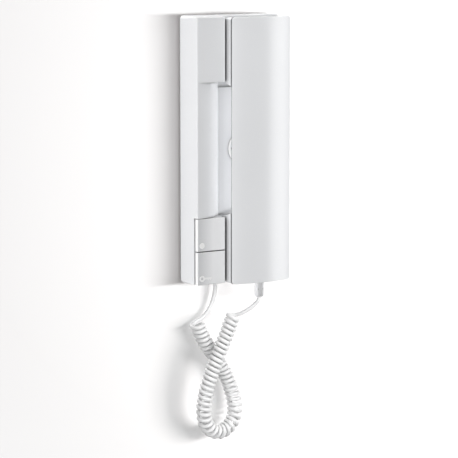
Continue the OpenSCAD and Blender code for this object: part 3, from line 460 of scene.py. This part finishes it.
facing = addNode(tree, "ShaderNodeNewGeometry")
through = addNode(tree, "ShaderNodeBsdfTransparent")
sided = addNode(tree, "ShaderNodeMixShader", {},
                {"Fac": facing.outputs["Backfacing"], 1: white.outputs[0], 2: through.outputs[0]})
addNode(tree, "ShaderNodeOutputMaterial", {}, {"Surface": sided.outputs[0]})
wall.data.materials.append(wallPaint)
floor.data.materials.append(wallPaint)

# light: soft boxes all round, in metres; each lights the group that it names, so the wall has its own shadow
boxSetup = {
    "leftBox": {"lights": "base", "turn": -85, "lean": 0, "wide": 0.5, "tall": 1.4, "radiance": 7.3},
    "edgeBox": {"lights": "base", "turn": -60, "lean": 0, "wide": 0.15, "tall": 1.4, "radiance": 11.5},
    "frontBox": {"lights": "base", "turn": 20, "lean": 0, "wide": 0.5, "tall": 1.4, "radiance": 2.95},
    "rightBox": {"lights": "base", "turn": 82, "lean": 0, "wide": 0.4, "tall": 1.4, "radiance": 9.5},
    "topBox": {"lights": "object", "turn": 0, "lean": 80, "wide": 1.4, "tall": 0.5, "radiance": 5.2},
    "gripLeft": {"lights": "handset", "turn": -76, "lean": 0, "wide": 0.5, "tall": 1.4, "radiance": 8},
    "gripFront": {"lights": "handset", "turn": -14, "lean": 0, "wide": 0.45, "tall": 1.4, "radiance": 2.3},
    "gripRight": {"lights": "handset", "turn": 54, "lean": 0, "wide": 0.7, "tall": 1.4, "radiance": 4.2},
    "gripFar": {"lights": "handset", "turn": 82, "lean": 0, "wide": 0.4, "tall": 1.4, "radiance": 5.5},
    "cordBox": {"lights": "cord", "turn": 14, "lean": 12, "wide": 1.2, "tall": 1.2, "radiance": 5},
    "cordLeft": {"lights": "cord", "turn": -48, "lean": -15, "wide": 1.2, "tall": 1.2, "radiance": 1.7},
    "rearBox": {"lights": "object", "turn": 180, "lean": 20, "wide": 1.4, "tall": 1.4, "radiance": 2.2},
    "wallBox": {"lights": "wall", "turn": 30, "lean": 0, "wide": 1.5, "tall": 0.1, "radiance": 46},
    "wallSide": {"lights": "wall", "turn": 38, "lean": 0, "wide": 1.3, "tall": 0.15, "radiance": 33},
    "wallFill": {"lights": "wall", "turn": 48, "lean": 0, "wide": 0.7, "tall": 0.5, "radiance": 15},
}
lampSetup = {"away": 1.6, "fill": 0.2, "warmTone": (1, 0.94, 0.93), "warm": ["wallFill"],
             "noGlare": ["leftBox", "rightBox", "gripFar"]}     # no glare on the flat sides
shells = [nodes["handset_front"], nodes["handset_back"]]
handsetBody = [nodes[name] for name in frame["record"]["behaviour"]["bodies"]["handset"]]
groups = {
    "wall": ([wall], "INCLUDE"),
    "handset": (shells, "INCLUDE"),
    "cord": ([cord], "INCLUDE"),
    "object": ([wall, floor], "EXCLUDE"),
    "base": ([wall, floor, cord] + shells, "EXCLUDE"),
    "handsetShade": (handsetBody, "EXCLUDE"),
    "cordShade": ([cord], "INCLUDE"),
    "noCordShade": ([cord], "EXCLUDE"),
}
# what casts a shadow in a box's light, by the group that it lights or by its own name; otherwise all does
blockers = {"base": "handsetShade", "wallBox": "noCordShade", "wallFill": "cordShade", "rearBox": "object"}
lit = {}
for groupName, (members, state) in groups.items():
    lit[groupName] = bpy.data.collections.new(groupName + "Lit")
    for member in members:
        lit[groupName].objects.link(member)
    for link in lit[groupName].collection_objects:
        link.light_linking.link_state = state
for boxName, box in boxSetup.items():
    boxData = bpy.data.lights.new(boxName, "AREA")
    boxData.shape = "RECTANGLE"
    boxData.size = box["wide"]
    boxData.size_y = box["tall"]
    boxData.energy = box["radiance"] * math.pi * box["wide"] * box["tall"]
    if boxName in lampSetup["warm"]:
        boxData.color = lampSetup["warmTone"]
    softBox = bpy.data.objects.new(boxName, boxData)
    softBox.location = outWay(box["turn"], box["lean"]) * lampSetup["away"]
    softBox.rotation_mode = "QUATERNION"
    softBox.rotation_quaternion = (-softBox.location).to_track_quat("-Z", "Y")
    softBox.light_linking.receiver_collection = lit[box["lights"]]
    shade = blockers.get(boxName, blockers.get(box["lights"]))
    if shade:
        softBox.light_linking.blocker_collection = lit[shade]
    softBox.visible_glossy = boxName not in lampSetup["noGlare"]
    bpy.context.scene.collection.objects.link(softBox)
world = bpy.data.worlds.new("studio")
bpy.context.scene.world = world
world.use_nodes = True
tree = world.node_tree
tree.nodes.clear()
fill = addNode(tree, "ShaderNodeBackground", {"Color": linear("#FFFFFF"), "Strength": lampSetup["fill"]})
white = addNode(tree, "ShaderNodeBackground", {"Color": linear("#FFFFFF"), "Strength": 1})
pick = addNode(tree, "ShaderNodeMixShader", {},
               {"Fac": backgroundRay(tree), 1: fill.outputs[0], 2: white.outputs[0]})
addNode(tree, "ShaderNodeOutputWorld", {}, {"Surface": pick.outputs[0]})
bpy.context.scene.view_settings.view_transform = "Standard"
print("stage lit")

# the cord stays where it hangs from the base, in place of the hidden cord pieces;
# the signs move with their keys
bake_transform(cord)
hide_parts("cord_base_tail", "cord_curls", "cord_handset_tail")
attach(lampSign, "light_key")
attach(keySign, "door_key")
